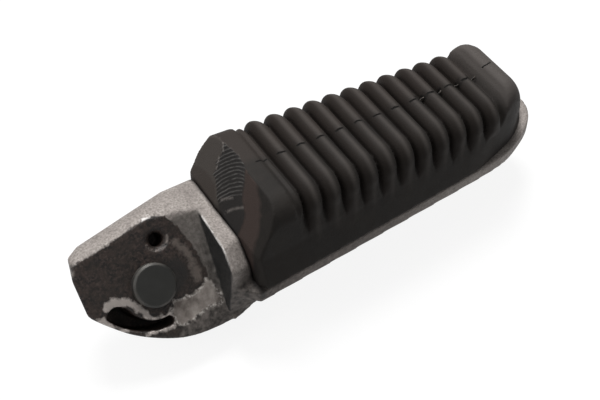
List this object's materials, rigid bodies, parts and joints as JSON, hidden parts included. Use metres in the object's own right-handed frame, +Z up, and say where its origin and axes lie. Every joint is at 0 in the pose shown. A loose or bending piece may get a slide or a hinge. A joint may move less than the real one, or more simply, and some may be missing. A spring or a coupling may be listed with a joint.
{
  "type": "motorcycle passenger footpeg",
  "caption": "Folding passenger footpeg: cast arm with an angled hinge tongue, a captive pivot pin and a ribbed rubber pad bolted on from below.",
  "frame": {"origin": "on the pivot axis, in the middle plane of the peg", "axes": "+X outboard along the peg, +Z up out of the tread, +Y to the rear side of the tread; the pivot axis leans 45 degrees from +Z towards -Y"},
  "size_m": [0.1488, 0.0412, 0.0477],
  "materials": {
    "cast_aluminium": "as cast, worn and dirty",
    "rubber": "weathered matte",
    "zinc_steel": "dull zinc",
    "dark_steel": "dark oiled"
  },
  "bodies": {
    "footpeg": {"peg_casting": "cast_aluminium", "rubber_pad": "rubber", "insert_plate": "zinc_steel", "bolt_inner": "zinc_steel", "bolt_outer": "zinc_steel", "washer_inner": "zinc_steel", "washer_outer": "zinc_steel"},
    "pivot_pin": {"pivot_pin": "dark_steel"}
  },
  "joints": [
    {"name": "pin_turn", "type": "hinge", "parent": "footpeg", "child": "pivot_pin", "pos_m": [0, 0, 0], "axis": [0, -0.7071, 0.7071], "continuous": true}
  ]
}
